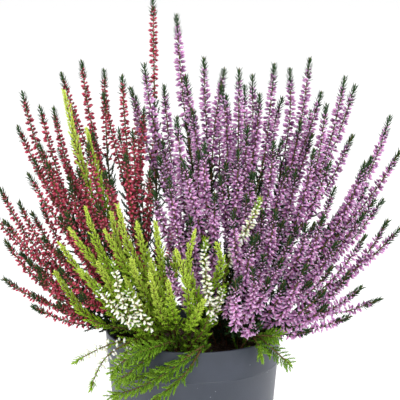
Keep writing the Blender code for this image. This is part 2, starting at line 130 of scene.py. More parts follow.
# Sprays that hang over the rim: kind, spikes, and the way of the stem above its hole.
HANGING_SPRAYS = (
    ("brush", 3, (
        (8, -52, 117), (11, -62, 137), (6, -78, 129), (-18, -82, 110), (-42, -76, 96), (-60, -64, 92),
    )),
    ("brush", 3, (
        (-12, -50, 117), (-14, -62, 138), (-24, -76, 131), (-44, -76, 121), (-64, -64, 116),
    )),
    ("white", 3, (
        (-26, -42, 117), (-36, -56, 136), (-52, -68, 137), (-68, -66, 124), (-76, -60, 108), (-75, -58, 93),
    )),
    ("brush", 3, (
        (34, -40, 117), (42, -50, 136), (54, -57, 133), (65, -56, 122), (72, -54, 112),
    )),
)
# The back half by kind: turn round the pot in degrees from +X, height on the dome, spikes.
BACK_SPRAYS = {
    "pink": ((12, 232, 4), (32, 284, 4), (64, 300, 4), (72, 226, 4), (92, 264, 4)),
    "red": ((96, 196, 4), (116, 290, 4), (132, 224, 4), (150, 284, 4)),
}

# How far a side spike's tip stands beside, below and before the main spike's tip.
SIDE_STEP = (11.0, 16.0)
SIDE_LOWER = (6.0, 30.0)
SIDE_FORE = (-9.0, 9.0)
TIER_LOWER = 27.0
TIER_FORE = 8.0
POINT_PITCH = 6.0
# Rounds of bending the spikes clear of each other, and the gap they keep.
SETTLE_ROUNDS = 360
SETTLE_GAP = 2.0
SETTLE_STEP = 2.5
PAIR_SLACK = 8.0
RIM_CLEAR = 3.6
STEM_HELD = 24.0
STEM_FREE = 40.0
SEED = 41


def paint(red, green, blue):
    """Scene-linear colour of a paint given as 0 to 255 on a screen."""
    return tuple(((c / 255 + 0.055) / 1.055) ** 2.4 if c > 10 else c / 3295 for c in (red, green, blue))


def length_setting(name, text, metres):
    return FloatProperty(name=name, description=text, default=metres, min=0.0, unit="LENGTH", precision=5)


def angle_setting(name, text, degrees):
    return FloatProperty(name=name, description=text, default=math.radians(degrees), subtype="ANGLE")


def strength_setting(name, text, value):
    return FloatProperty(name=name, description=text, default=value)


def colour_setting(name, text, *shades):
    return FloatVectorProperty(
        name=name, description=text, default=paint(*shades), subtype="COLOR", size=3, min=0.0, max=1.0
    )


# Shades of the buds and leaves of each family, as 0 to 255 on a screen.
BUD_WORDS = ("deep", "light", "tip")
BUD_SHADES = {
    "crimson": ((104, 14, 36), (200, 66, 94), (222, 138, 152)),
    "mauve": ((116, 56, 110), (224, 160, 216), (246, 226, 246)),
    "white": ((222, 224, 178), (252, 251, 242), (255, 255, 252)),
}
LEAF_WORDS = ("shaded", "full", "young")
LEAF_SHADES = {
    "green": ((26, 42, 20), (44, 76, 40), (84, 122, 66)),
    "lime": ((88, 130, 20), (158, 202, 44), (214, 234, 100)),
    "brush": ((56, 90, 16), (110, 156, 36), (160, 198, 66)),
}


def shade_settings(what, words, families):
    """A colour setting for every shade of every family, named by both."""
    return {
        "%s_%s" % (family, word): colour_setting(
            "%s, %s" % (family.capitalize(), word), "Colour of %s: %s %s" % (what, family, word), *shade
        )
        for family, shades in families.items()
        for word, shade in zip(words, shades)
    }


class HeatherBudSettings(PropertyGroup):
    """Closed buds round the spikes."""

    width: length_setting("Bud width", "Width of a closed bud", 0.0019)
    droop: angle_setting("Droop", "How far the lowest buds hang", 14)
    __annotations__.update(shade_settings("buds", BUD_WORDS, BUD_SHADES))


class HeatherLeafSettings(PropertyGroup):
    """Scale leaves, leafy shoots and wood."""

    length: length_setting("Leaf length", "Length of a scale leaf on a shoot", 0.0027)
    width: length_setting("Leaf width", "Width of a scale leaf", 0.0012)
    tip_length: length_setting("Tip leaf length", "Length of a leaf in a spike's tip", 0.0050)
    pair_pitch: length_setting("Pair pitch", "Distance between two pairs of leaves", 0.0012)
    old_wood: colour_setting("Old wood", "Bare woody stems", 74, 40, 28)
    young_wood: colour_setting("Young wood", "Stems between the buds", 112, 98, 58)
    __annotations__.update(shade_settings("leaves", LEAF_WORDS, LEAF_SHADES))


class HeatherPotSettings(PropertyGroup):
    """Moulded pot and peat."""

    plastic: colour_setting("Plastic", "Slate grey plastic", 52, 58, 70)
    plastic_light: colour_setting("Plastic, rubbed", "Plastic where it is rubbed", 58, 64, 77)
    peat: colour_setting("Peat", "Moist peat", 48, 34, 26)
    peat_dry: colour_setting("Peat, dry", "Dry crumbs", 98, 76, 58)
    speck: colour_setting("Speck", "Tiny pale specks on the plastic", 196, 200, 206)
    crumbs: IntProperty(name="Crumbs", description="Loose crumbs on the peat", default=420, min=0)


class HeatherStageSettings(PropertyGroup):
    """Camera, floor and lights."""

    distance: length_setting("Distance", "Camera to the pot's axis", 1.4)
    field: length_setting("Field", "Width seen at the pot's axis", 0.302)
    tilt: angle_setting("Tilt", "Camera below level", 12.1)
    floor_colour: colour_setting("Floor", "Pale studio floor", 250, 250, 250)
    key_power: strength_setting("Key light", "Watts of the main softbox", 30.0)
    fill_power: strength_setting("Fill light", "Watts of the side softbox", 14.0)
    edge_power: strength_setting("Edge light", "Watts of the softbox at the right", 10.0)
    sky: strength_setting("Sky", "Strength of the even light", 1.0)


def make_active(thing):
    bpy.ops.object.select_all(action="DESELECT")
    thing.select_set(True)
    bpy.context.view_layer.objects.active = thing


def turned(name, profile, steps, collection):
    """A solid turned about Z from a profile of radius and height, both ends on the axis."""
    mesh = bpy.data.meshes.new(name)
    points = [(radius * MM, 0.0, height * MM) for radius, height in profile]
    mesh.from_pydata(points, [(i, i + 1) for i in range(len(points) - 1)], [])
    thing = bpy.data.objects.new(name, mesh)
    collection.objects.link(thing)
    screw = thing.modifiers.new("turn", "SCREW")
    screw.steps = steps
    screw.render_steps = steps
    screw.use_merge_vertices = True
    screw.merge_threshold = 0.0001
    screw.use_normal_calculate = True
    make_active(thing)
    bpy.ops.object.modifier_apply(modifier=screw.name)
    return thing


def wall_radius(height):
    """Radius of the pot's outside at this height."""
    return POT_BASE_RADIUS + (RIM_RADIUS - POT_BASE_RADIUS) * height / POT_HEIGHT


def unit(vector):
    return vector / max(float(np.linalg.norm(vector)), 1e-9)


def units(vectors):
    return vectors / np.linalg.norm(vectors, axis=1)[:, None]


def distances(line):
    """How far along the line each of its points is."""
    steps = np.linalg.norm(np.diff(line, axis=0), axis=1)
    return np.concatenate(([0.0], np.cumsum(steps)))


def front_tip(across, seen, nearer=None):
    """Where a tip stands that looks to be at this place across and this height."""
    rise = DOME_RISE if seen > DOME_CENTRE[2] else DOME_DROP
    if nearer is None:
        left = 1.0 - (across / DOME_WIDTH) ** 2 - ((seen - DOME_CENTRE[2]) / rise) ** 2
        nearer = DOME_DEPTH * math.sqrt(max(0.0, left))
    shrink = 1.0 - nearer / SIGHT_DISTANCE
    x = SIGHT_CENTRE[0] + (across - SIGHT_CENTRE[0]) * shrink
    z = SIGHT_CENTRE[1] + (seen - SIGHT_CENTRE[1]) * shrink + nearer * SIGHT_SLOPE
    return np.array([x, DOME_CENTRE[1] - nearer, z])


def back_tip(turn, height):
    rise = DOME_RISE if height > DOME_CENTRE[2] else DOME_DROP
    ring = math.sqrt(max(0.05, 1.0 - ((height - DOME_CENTRE[2]) / rise) ** 2))
    angle = math.radians(turn)
    return np.array([
        DOME_WIDTH * 0.92 * ring * math.cos(angle),
        DOME_CENTRE[1] + DOME_DEPTH * ring * math.sin(angle),
        height,
    ])


def plan_sprays():
    """Kind, tip, number of spikes and, if it hangs, the way of every spray."""
    plan = []
    for kind, rows in FRONT_SPRAYS.items():
        for across, seen, count, *nearer in rows:
            plan.append((kind, front_tip(across, seen, *nearer), count, None))
    for kind, count, points in HANGING_SPRAYS:
        way = np.array(points, float)
        plan.append((kind, way[-1], count, way))
    for kind, rows in BACK_SPRAYS.items():
        for turn, height, count in rows:
            plan.append((kind, back_tip(turn, height), count, None))
    return plan


def plan_holes(plan):
    """Holes near each plant's crown, in the order of the tips and spread to clear each other."""
    spots = []
    for kind, tip, _, way in plan:
        crown = np.array(CROWNS[kind])
        spots.append(crown + CROWN_SPREAD * (tip[:2] - crown) if way is None else way[0, :2])
    spots = np.array(spots)
    for _ in range(HOLE_ROUNDS):
        apart = spots[:, None] - spots[None]
        far = np.sqrt((apart ** 2).sum(2)) + 1e-6
        short = np.clip(HOLE_SPACING - far, 0.0, None)
        np.fill_diagonal(short, 0.0)
        spots += 0.25 * (apart / far[..., None] * short[..., None]).sum(1)
        ring = np.linalg.norm(spots, axis=1)
        spots *= np.minimum(1.0, HOLE_LIMIT / ring)[:, None]
    return np.round(spots, 1)


def resampled(points, pitch):
    """The same curve with evenly spaced points."""
    along = distances(points)
    count = max(4, int(round(along[-1] / pitch)) + 1)
    places = np.linspace(0.0, along[-1], count)
    return np.stack([np.interp(places, along, points[:, i]) for i in range(3)], axis=1)


def curve_through(start, first, second, end):
    t = np.linspace(0.0, 1.0, 60)[:, None]
    return (1 - t) ** 3 * start + 3 * (1 - t) ** 2 * t * first + 3 * (1 - t) * t * t * second + t ** 3 * end


def curve_along(way):
    """A smooth line through the given points."""
    ends = np.concatenate((2 * way[:1] - way[1:2], way, 2 * way[-1:] - way[-2:-1]))
    spans = []
    for before, start, end, after in zip(ends, ends[1:], ends[2:], ends[3:]):
        spans.append(curve_through(start, start + (end - before) / 6, end - (after - start) / 6, end))
    return np.concatenate(spans)


def stem_line(hole, tip, way):
    """The middle line of a spray's main spike: straight up out of its hole, outward, then up."""
    soil_top = POT_HEIGHT - SOIL_BELOW_RIM
    start = np.array([hole[0], hole[1], soil_top + STEM_UPRIGHT])
    up = np.array([0.0, 0.0, 1.0])
    if way is not None:
        curve = curve_along(np.concatenate((start[None], way[1:])))
    else:
        reach = float(np.linalg.norm(tip - start))
        ahead = unit(tip - start)
        first = start + unit(0.85 * ahead + 0.15 * up) * reach * 0.34
        second = tip - unit(0.24 * ahead + 0.76 * up) * reach * 0.38
        curve = curve_through(start, first, second, tip)
    foot = np.array([[hole[0], hole[1], soil_top - STEM_DEPTH]])
    return np.concatenate((foot, resampled(curve, POINT_PITCH)))


def side_line(main, tip, branch):
    """A side spike that leaves the main stem at one of its points and ends beside its tip."""
    start = main[branch]
    ahead = unit(main[branch + 1] - start)
    end_way = unit(main[-1] - main[-4])
    reach = float(np.linalg.norm(tip - start))
    sideways = unit(tip - start)
    first = start + unit(0.45 * ahead + 0.55 * sideways) * reach * 0.36
    second = tip - unit(0.8 * end_way + 0.2 * sideways) * reach * 0.36
    return resampled(curve_through(start, first, second, tip), POINT_PITCH)


def draw_sprays(plan, holes):
    """Every spike's line, before they are bent clear of each other."""
    spikes = []
    for index, ((kind, tip, count, bends), hole) in enumerate(zip(plan, holes)):
        rng = np.random.default_rng(SEED + index)
        main = stem_line(hole, tip, bends)
        spikes.append([index, kind, 0, main, None])
        way = unit(main[-1] - main[-4])
        facing = -1.0 if tip[1] < DOME_CENTRE[1] + 20.0 else 1.0
        across = unit(np.cross(way, [tip[0] / DOME_WIDTH * 0.5, facing, 0.25]))
        outward = np.cross(across, way)
        outward *= math.copysign(1.0, outward[1] * facing)
        _, tuft, florets, leafy, _ = KINDS[kind]
        for side in range(1, count):
            hand = 1.0 if side % 2 else -1.0
            tier = (side - 1) // 2
            step = rng.uniform(*SIDE_STEP) * (1.0 - 0.4 * tier)
            lower = rng.uniform(*SIDE_LOWER) + TIER_LOWER * tier
            fore = rng.uniform(*SIDE_FORE) + TIER_FORE * tier
            end = tip + across * hand * step - way * lower + outward * fore
            run = tuft + florets + leafy * rng.uniform(0.3, 0.7) + lower
            branch = int(np.clip(len(main) - 1 - round(run / POINT_PITCH), 4, len(main) - 7))
            spikes.append([index, kind, side, side_line(main, end, branch), branch])
    return spikes


def zones(kind, length, is_main):
    """Lengths of the leafy tip, the florets and the leafy stem on a spike of this length."""
    _, tuft, florets, leafy, _ = KINDS[kind]
    room = length - tuft - (STEM_DEPTH + 16.0 if is_main else 8.0)
    florets = min(florets, 0.72 * room)
    return tuft, florets, min(leafy, room - florets)


def radius_at(kind, to_tip, length, is_main):
    """Radius of a spike this far below its tip."""
    radius, leafy_radius = KINDS[kind][0], KINDS[kind][4]
    tuft, florets, leafy = zones(kind, length, is_main)
    low = tuft + florets
    places = (0.0, tuft, low, low + 6.0, low + leafy, low + leafy + 8.0)
    sizes = (0.6, radius, radius, leafy_radius, leafy_radius, STEM_RADIUS)
    return np.interp(to_tip, places, sizes)


def settle(spikes):
    """Bends the spikes until those of different sprays, and the pot's rim, clear each other."""
    lines = [spike[3] for spike in spikes]
    sizes = [len(line) for line in lines]
    starts = np.concatenate(([0], np.cumsum(sizes)))[:-1]
    points = np.concatenate(lines)
    home = points.copy()
    owner = np.concatenate([np.full(n, spike[0]) for n, spike in zip(sizes, spikes)])
    spike_of = np.concatenate([np.full(n, i) for i, n in enumerate(sizes)])
    radius = np.empty(len(points))
    loose = np.empty(len(points))
    for (_, kind, side, line, _), start, size in zip(spikes, starts, sizes):
        along = distances(line)
        radius[start:start + size] = radius_at(kind, along[-1] - along, along[-1], side == 0)
        free = np.clip((along - (STEM_HELD if side == 0 else 0.0)) / STEM_FREE, 0.0, 1.0)
        loose[start:start + size] = free
    first = np.zeros(len(points), bool)
    last = np.zeros(len(points), bool)
    first[starts] = True
    last[starts + np.array(sizes) - 1] = True
    inner_at = np.nonzero(~(first | last))[0]
    checked = points + 1e3
    for turn in range(SETTLE_ROUNDS):
        if np.abs(points - checked).max() > PAIR_SLACK / 4:
            checked = points.copy()
            one, two = near_pairs(points, spike_of)
        away = points[one] - points[two]
        far = np.linalg.norm(away, axis=1) + 1e-6
        same = owner[one] == owner[two]
        wanted = (radius[one] + radius[two]) * np.where(same, 0.8, 1.0) + np.where(same, 0.0, SETTLE_GAP)
        wanted = np.where(same & (loose[one] + loose[two] < 1.3), 0.0, wanted)
        short = np.clip(wanted - far, 0.0, None)
        weight = loose[one] + loose[two] + 1e-6
        push = away / far[:, None] * (short / weight)[:, None]
        shift = np.zeros_like(points)
        np.add.at(shift, one, push * loose[one][:, None])
        np.add.at(shift, two, -push * loose[two][:, None])
        shift = np.clip(shift, -SETTLE_STEP, SETTLE_STEP)
        shift += rim_push(points, radius) * loose[:, None]
        for _ in range(2):
            smooth = shift.copy()
            smooth[inner_at] = 0.5 * shift[inner_at] + 0.25 * (shift[inner_at - 1] + shift[inner_at + 1])
            smooth[last] = 0.5 * shift[last] + 0.5 * shift[np.nonzero(last)[0] - 1]
            shift = smooth
        points = points + shift * loose[:, None] ** 0.3
        stiff = np.zeros_like(points)
        stiff[inner_at] = 0.5 * (points[inner_at - 1] + points[inner_at + 1]) - points[inner_at]
        points += 0.12 * stiff * loose[:, None]
        if turn < SETTLE_ROUNDS * 0.6:
            points += 0.015 * (home - points)
        for i, spike in enumerate(spikes):
            if spike[4] is None:
                continue
            main_start = starts[i - spike[2]]
            gap = points[main_start + spike[4]] - points[starts[i]]
            fade = np.clip(1.0 - np.arange(sizes[i]) / 5.0, 0.0, 1.0)[:, None]
            points[starts[i]:starts[i] + sizes[i]] += gap * fade
    return [points[a:a + n] for a, n in zip(starts, sizes)]


def near_pairs(points, spike_of):
    """Pairs of points of different spikes that may come to touch soon."""
    reach = 2 * max(kind[0] for kind in KINDS.values()) + SETTLE_GAP + PAIR_SLACK
    square = (points ** 2).sum(1)
    near = square[:, None] + square[None] - 2.0 * points @ points.T < reach ** 2
    near &= spike_of[:, None] != spike_of[None]
    return np.nonzero(np.triu(near, 1))


def rim_push(points, radius):
    """Keeps what hangs over the rim off the pot."""
    push = np.zeros_like(points)
    ring = np.hypot(points[:, 0], points[:, 1]) + 1e-6
    outward = points[:, :2] / ring[:, None]
    over = ring - (RIM_RADIUS - 1.0)
    above = points[:, 2] - POT_HEIGHT
    beside = (above < 0) & (over > -4.0)
    short = np.where(beside, radius + RIM_CLEAR - over, 0.0)
    push[:, :2] += outward * np.clip(short, 0.0, SETTLE_STEP)[:, None]
    far = np.hypot(over, above) + 1e-6
    close = np.where(beside, 0.0, np.clip(radius + RIM_CLEAR - far, 0.0, SETTLE_STEP))
    push[:, :2] += outward * (close * over / far)[:, None]
    push[:, 2] += close * above / far
    return push


def cross_frames(line):
    """Two directions across the line at each point, carried along it without twist."""
    ways = units(np.gradient(line, axis=0))
    one = np.array([1.0, 0.0, 0.0])
    ones = []
    for way in ways:
        one = unit(one - way * float(one @ way))
        ones.append(one)
    ones = np.array(ones)
    return ways, ones, np.cross(ways, ones)


NO_QUADS = np.zeros((0, 4), int)
# Patterns that are copied: corners (across, up, along), triangles and quads.
BUD_PATTERN = (
    np.array(
        [[0.0, 0.0, 0.0]]
        + [[0.42 * math.cos(a), 0.42 * math.sin(a), 0.26] for a in np.arange(4) * math.pi / 2]
        + [[0.50 * math.cos(a), 0.50 * math.sin(a), 0.66] for a in np.arange(4) * math.pi / 2]
        + [[0.0, 0.0, 1.0]]
    ),
    np.array([[0, 2, 1], [0, 3, 2], [0, 4, 3], [0, 1, 4], [9, 5, 6], [9, 6, 7], [9, 7, 8], [9, 8, 5]]),
    np.array([[1, 2, 6, 5], [2, 3, 7, 6], [3, 4, 8, 7], [4, 1, 5, 8]]),
)
LEAF_PATTERN = (
    np.array([[0.0, 0.0, 0.0], [0.5, 0.12, 0.42], [-0.5, 0.12, 0.42], [0.0, -0.34, 0.36], [0.0, 0.22, 1.0]]),
    np.array([[0, 1, 3], [0, 2, 1], [0, 3, 2], [4, 3, 1], [4, 1, 2], [4, 2, 3]]),
    NO_QUADS,
)
NEEDLE_PATTERN = (
    np.array([[0.5, 0.14, 0.0], [-0.5, 0.14, 0.0], [0.0, -0.32, 0.08], [0.0, 0.2, 1.0]]),
    np.array([[0, 1, 2], [3, 1, 0], [3, 2, 1], [3, 0, 2]]),
    NO_QUADS,
)
STEM_SLOT, LEAF_SLOT, BUD_SLOT = 0, 1, 2
# Where each slot's colours lie in the bake map: lowest and highest place upwards.
MAP_BANDS = {STEM_SLOT: (0.03, 0.27), LEAF_SLOT: (0.35, 0.61), BUD_SLOT: (0.69, 0.97)}


class SprayForm:
    """Gathers the corners and faces of one piece."""

    def __init__(self):
        self.parts, self.faces, self.slots = [], [], []
        self.total = 0

    def add(self, corners, tones, alongs, sides, faces, slot):
        self.parts.append((corners, tones, alongs, sides))
        for group in faces:
            if len(group):
                self.faces.append(group + self.total)
                self.slots.append(np.full(len(group), slot))
        self.total += len(corners)

    def copies(self, pattern, places, ways, ups, lengths, widths, tones, slot):
        """Sets one copy of the pattern at each place, pointing along its way."""
        if not len(places):
            return
        shape, triangles, quads = pattern
        count, each = len(places), len(shape)
        rights = np.cross(ups, ways)
        rights /= np.linalg.norm(rights, axis=1)[:, None] + 1e-9
        ups = np.cross(ways, rights)
        corners = places[:, None, :] + (
            rights[:, None, :] * (shape[None, :, 0, None] * widths[:, None, None])
            + ups[:, None, :] * (shape[None, :, 1, None] * widths[:, None, None])
            + ways[:, None, :] * (shape[None, :, 2, None] * lengths[:, None, None])
        )
        first = (np.arange(count) * each)[:, None, None]
        self.add(
            corners.reshape(-1, 3),
            np.repeat(tones, each),
            np.tile(shape[:, 2], count),
            np.tile(shape[:, 0], count),
            [(triangles[None] + first).reshape(-1, 3), (quads[None] + first).reshape(-1, 4)],
            slot,
        )

    def tube(self, line, ones, twos, radii, tones, edges, slot):
        """A closed round stem along a line."""
        count = len(line)
        turns = np.arange(edges) * 2 * math.pi / edges
        rings = line[:, None, :] + radii[:, None, None] * (
            ones[:, None, :] * np.cos(turns)[None, :, None] + twos[:, None, :] * np.sin(turns)[None, :, None]
        )
        corners = np.concatenate((rings.reshape(-1, 3), line[:1], line[-1:]))
        at = np.arange(count - 1)[:, None] * edges
        here = np.arange(edges)[None]
        beside = (here + 1) % edges
        quads = np.stack((at + here, at + beside, at + edges + beside, at + edges + here), axis=2)
        foot, head = count * edges, count * edges + 1
        around = np.arange(edges)
        top = (count - 1) * edges
        caps = np.concatenate((
            np.stack((np.full(edges, foot), (around + 1) % edges, around), axis=1),
            np.stack((np.full(edges, head), top + around, top + (around + 1) % edges), axis=1),
        ))
        share = np.linspace(0.0, 1.0, count)
        self.add(
            corners,
            np.concatenate((np.repeat(tones, edges), tones[:1], tones[-1:])),
            np.concatenate((np.repeat(share, edges), [0.0, 1.0])),
            np.concatenate((np.tile(np.cos(turns), count), [0.0, 0.0])),
            [caps, quads.reshape(-1, 4)],
            slot,
        )

    def build(self, name, materials):
        """The piece as a mesh object, with its tone and along values and its bake map."""
        corners, tones, alongs, sides = (np.concatenate(column) for column in zip(*self.parts))
        corners = corners * MM
        tones = np.clip(tones, 0.0, 1.0)
        mesh = bpy.data.meshes.new(name)
        counts = np.concatenate([np.full(len(group), group.shape[1]) for group in self.faces])
        loops = np.concatenate([group.ravel() for group in self.faces]).astype(np.int32)
        mesh.vertices.add(len(corners))
        mesh.vertices.foreach_set("co", corners.ravel())
        mesh.loops.add(len(loops))
        mesh.loops.foreach_set("vertex_index", loops)
        mesh.polygons.add(len(counts))
        mesh.polygons.foreach_set("loop_start", np.concatenate(([0], np.cumsum(counts)[:-1])))
        slots = np.concatenate(self.slots)
        mesh.update(calc_edges=True)
        mesh.polygons.foreach_set("material_index", slots)
        mesh.polygons.foreach_set("use_smooth", np.ones(len(counts), bool))
        for word, values in (("tone", tones), ("along", alongs)):
            mesh.attributes.new(word, "FLOAT", "POINT").data.foreach_set("value", values)
        bands = np.array([MAP_BANDS[slot] for slot in (STEM_SLOT, LEAF_SLOT, BUD_SLOT)])
        bands = bands[np.repeat(slots, counts)]
        across = 0.03 + 0.90 * tones[loops] + 0.02 * sides[loops]
        upward = bands[:, 0] + (bands[:, 1] - bands[:, 0]) * alongs[loops]
        layer = mesh.uv_layers.new(name="OFBake")
        layer.uv.foreach_set("vector", np.stack((across, upward), axis=1).ravel())
        for material in materials:
            mesh.materials.append(material)
        mesh.validate()
        piece = bpy.data.objects.new(name, mesh)
        bpy.context.scene.collection.objects.link(piece)
        return piece


class SpikeLine:
    """One stem line that can be read at any distance above its foot."""

    def __init__(self, line):
        self.along = distances(line)
        self.length = float(self.along[-1])
        self.line = line
        self.ways, self.ones, self.twos = cross_frames(line)

    def read(self, table, places):
        return np.stack([np.interp(places, self.along, table[:, i]) for i in range(3)], axis=1)

    def at(self, places, turns):
        """Points on the line there, its way, and the direction outward at each turn."""
        ways = units(self.read(self.ways, places))
        out = (
            self.read(self.ones, places) * np.cos(turns)[:, None]
            + self.read(self.twos, places) * np.sin(turns)[:, None]
        )
        out = units(out - ways * (out * ways).sum(1)[:, None])
        return self.read(self.line, places), ways, out


GOLDEN_TURN = math.pi * (3.0 - math.sqrt(5.0))
# Distance between two rounds of buds and the buds in a round.
BUD_ROUNDS = {"red": (2.7, 4), "pink": (2.7, 5), "white": (2.8, 4)}
# Spikes whose tips are as low as the first height have faded buds, above the second fresh ones.
FADED_TIPS = (165.0, 240.0)
# Share of the buds that still stands at the foot of a spike.
LOW_BUDS = 0.5
# Turn of each round of buds past the one below it.
ROUND_TURN = 0.62
# Shares of the way up a run of buds, and the share of their full length there.
BUD_LENGTHS = ((0.0, 0.1, 0.75, 1.0), (0.82, 1.0, 0.95, 0.55))
# How much paler faded buds are, and the share of them that has dropped.
FADED_TONE = 0.22
FADED_LOSS = 0.35
# Leafy spikes: bare run at the tip, pitch and shift of the shoots, shares of the way up and the
# shoots' lengths there, their spread, their rise, their tone at the foot and its gain, then the
# lengths and tones of the leaves at the head.
FOLIAGE = {
    "lime": (
        1.5, 1.15, 0.5, ((0.0, 0.3, 0.8, 1.0), (7.5, 6.8, 5.0, 2.4)), (0.8, 1.15), (0.65, 1.05),
        (0.42, 0.42), (2.4, 2.0), (0.75, 1.0),
    ),
    "brush": (
        0.0, 0.85, 0.3, ((0.0, 0.2, 0.85, 1.0), (6.0, 8.2, 7.6, 4.0)), (0.85, 1.12), (0.42, 0.42),
        (0.35, 0.3), (2.6, 2.2), (0.6, 0.9),
    ),
}
# Distance between two shoots on leafy stems and on bare stems, and the lengths on the latter.
SHOOT_PITCH = 2.5
INNER_PITCH = 3.0
INNER_LENGTHS = (9.0, 15.0)
# Turns round the stem that a brush's shoots take in order.
COMB_TURNS = (-math.pi / 2, math.pi / 2, -math.pi / 2, 0.3)
# Width of a shoot's core, and the number of sides of a stem.
SHOOT_WIDTH = 0.7
STEM_EDGES = 5
# Distance between two pairs of leaves in the buds, in a green tip, on a leafy stem and at the
# head of a leafy spike, and how far down from its tip that head reaches.
BUD_LEAF_PITCH = 2.2
TUFT_PITCH = 0.62
STEM_LEAF_PITCH = 2.0
HEAD_PITCH = 0.9
HEAD_RUN = 7.0
# Shortest and longest of the leafy shoots under the buds.
SHORTEST_SHOOT = 6.0
LONGEST_SHOOTS = {"red": 12.0, "pink": 13.0, "white": 10.0, "lime": 10.0, "brush": 9.0}


def shaken(rng, values, spread):
    return values + rng.normal(0.0, spread, len(values))


def graded(share, ends):
    """Values between the two ends, by the share of the way from one to the other."""
    return np.interp(share, [0.0, 1.0], ends)


def tilted(ways, outs, rises):
    """Directions that rise by these angles from straight out."""
    return outs * np.cos(rises)[:, None] + ways * np.sin(rises)[:, None]


def add_leaves(form, rng, line, low, high, pitch, length, rise, tone):
    """Pairs of leaves on a stem between two distances above its foot."""
    pairs = int((high - low) / pitch)
    if pairs < 1:
        return
    leaf = bpy.context.scene.heather_leaves
    places = low + (np.repeat(np.arange(pairs), 2) + 0.5) * pitch
    turns = np.repeat(np.arange(pairs), 2) * math.pi / 2 + np.tile([0.0, math.pi], pairs)
    turns = shaken(rng, turns, 0.25)
    share = (places - low) / (high - low)
    points, ways, outs = line.at(places, turns)
    rises = shaken(rng, graded(share, rise), 0.12)
    heads = tilted(ways, outs, rises)
    lengths = graded(share, length) * rng.uniform(0.8, 1.1, len(places))
    widths = np.full(len(places), leaf.width / MM) * rng.uniform(0.85, 1.15, len(places))
    tones = shaken(rng, graded(share, tone), 0.07)
    form.copies(LEAF_PATTERN, points + outs * 0.2, heads, ways, lengths, widths, tones, LEAF_SLOT)


def add_shoots(form, rng, line, places, lengths, rises, tones, turns=None):
    """Short leafy shoots on a stem: a slim core with pairs of scale leaves."""
    if not len(places):
        return
    leaf = bpy.context.scene.heather_leaves
    pitch = leaf.pair_pitch / MM
    if turns is None:
        turns = np.arange(len(places)) * GOLDEN_TURN + rng.uniform(0.0, math.tau)
    points, ways, outs = line.at(places, turns)
    heads = tilted(ways, outs, rises)
    bends = tilted(ways, outs, rises + 0.5)
    thick = np.full(len(places), SHOOT_WIDTH)
    form.copies(NEEDLE_PATTERN, points, heads, ways, lengths, thick, tones * 0.6, STEM_SLOT)
    pairs = np.maximum(2, (lengths / pitch).astype(int))
    of = np.repeat(np.arange(len(places)), pairs * 2)
    order = np.concatenate([np.repeat(np.arange(n), 2) for n in pairs])
    share = (order + 1.0) / pairs[of]
    here = units(heads[of] + (bends[of] - heads[of]) * (share * 0.5)[:, None])
    spots = points[of] + here * (share * lengths[of] * 0.86)[:, None]
    side = units(np.cross(here, outs[of] + 0.3))
    other = np.cross(here, side)
    turn = shaken(rng, order * math.pi / 2 + np.tile([0.0, math.pi], len(order) // 2), 0.2)
    out = side * np.cos(turn)[:, None] + other * np.sin(turn)[:, None]
    rise = shaken(rng, graded(share, (0.72, 1.15)), 0.1)
    size = leaf.length / MM * rng.uniform(0.8, 1.15, len(order)) * graded(share, (1.05, 0.85))
    widths = np.full(len(order), leaf.width / MM)
    tone = shaken(rng, tones[of] + share * 0.2 - 0.08, 0.05)
    form.copies(NEEDLE_PATTERN, spots, tilted(here, out, rise), here, size, widths, tone, LEAF_SLOT)


def add_buds(form, rng, line, kind, low, high, tone):
    """Rounds of closed buds, hanging a little low on the spike and rising towards its tip."""
    fade = float(np.interp(line.line[-1, 2], FADED_TIPS, [1.0, 0.0]))
    bud = bpy.context.scene.heather_buds
    pitch, each = BUD_ROUNDS[kind]
    rounds = max(3, int((high - low) / pitch))
    number = np.repeat(np.arange(rounds), each)
    share = number / (rounds - 1)
    places = low + (high - low) * share + rng.uniform(-0.45, 0.45, len(number)) * pitch
    turns = np.tile(np.arange(each) * math.tau / each, rounds) + number * ROUND_TURN
    turns = shaken(rng, turns, 0.18)
    points, ways, outs = line.at(places, turns)
    rises = np.interp(share, [0.0, 0.55, 0.85, 1.0], [-bud.droop, 0.02, 0.35, 0.85])
    rises = shaken(rng, rises, 0.17)
    lengths = (KINDS[kind][0] + 0.1) * np.interp(share, *BUD_LENGTHS)
    lengths = lengths * rng.uniform(0.84, 1.06, len(number))
    widths = bud.width / MM * rng.uniform(0.88, 1.12, len(number)) * np.interp(share, [0.8, 1.0], [1.0, 0.7])
    tones = tone + FADED_TONE * fade + rng.normal(0.0, 0.24, len(number))
    heads = tilted(ways, outs, rises)
    full_share = np.interp(share, [0.0, 0.5], [LOW_BUDS, 1.0]) * (1.0 - FADED_LOSS * fade)
    kept = rng.uniform(0.0, 1.0, len(number)) < full_share
    picked = [values[kept] for values in (points + outs * 0.3, heads, ways, lengths, widths, tones)]
    form.copies(BUD_PATTERN, *picked, BUD_SLOT)


def leafy_foliage(form, rng, line, kind, low, lean):
    """Shoots up a leafy spike: feathery on lime, like the teeth of a comb on a brush."""
    bare, pitch, start, run, spread, rise, tone, head, head_tone = FOLIAGE[kind]
    places = np.arange(low, line.length - bare, pitch) + rng.uniform(-start, start)
    share = np.clip((places - low) / (line.length - low), 0.0, 1.0)
    lengths = np.interp(share, *run) * rng.uniform(*spread, len(places))
    turns = None
    if kind == "brush":
        turns = shaken(rng, np.resize(COMB_TURNS, len(places)), 0.3)
    rises = shaken(rng, graded(share, rise), 0.12)
    add_shoots(form, rng, line, places, lengths, rises, tone[0] + tone[1] * share + lean, turns)
    foot = line.length - HEAD_RUN
    add_leaves(form, rng, line, foot, line.length, HEAD_PITCH, head, (0.8, 1.25), head_tone)


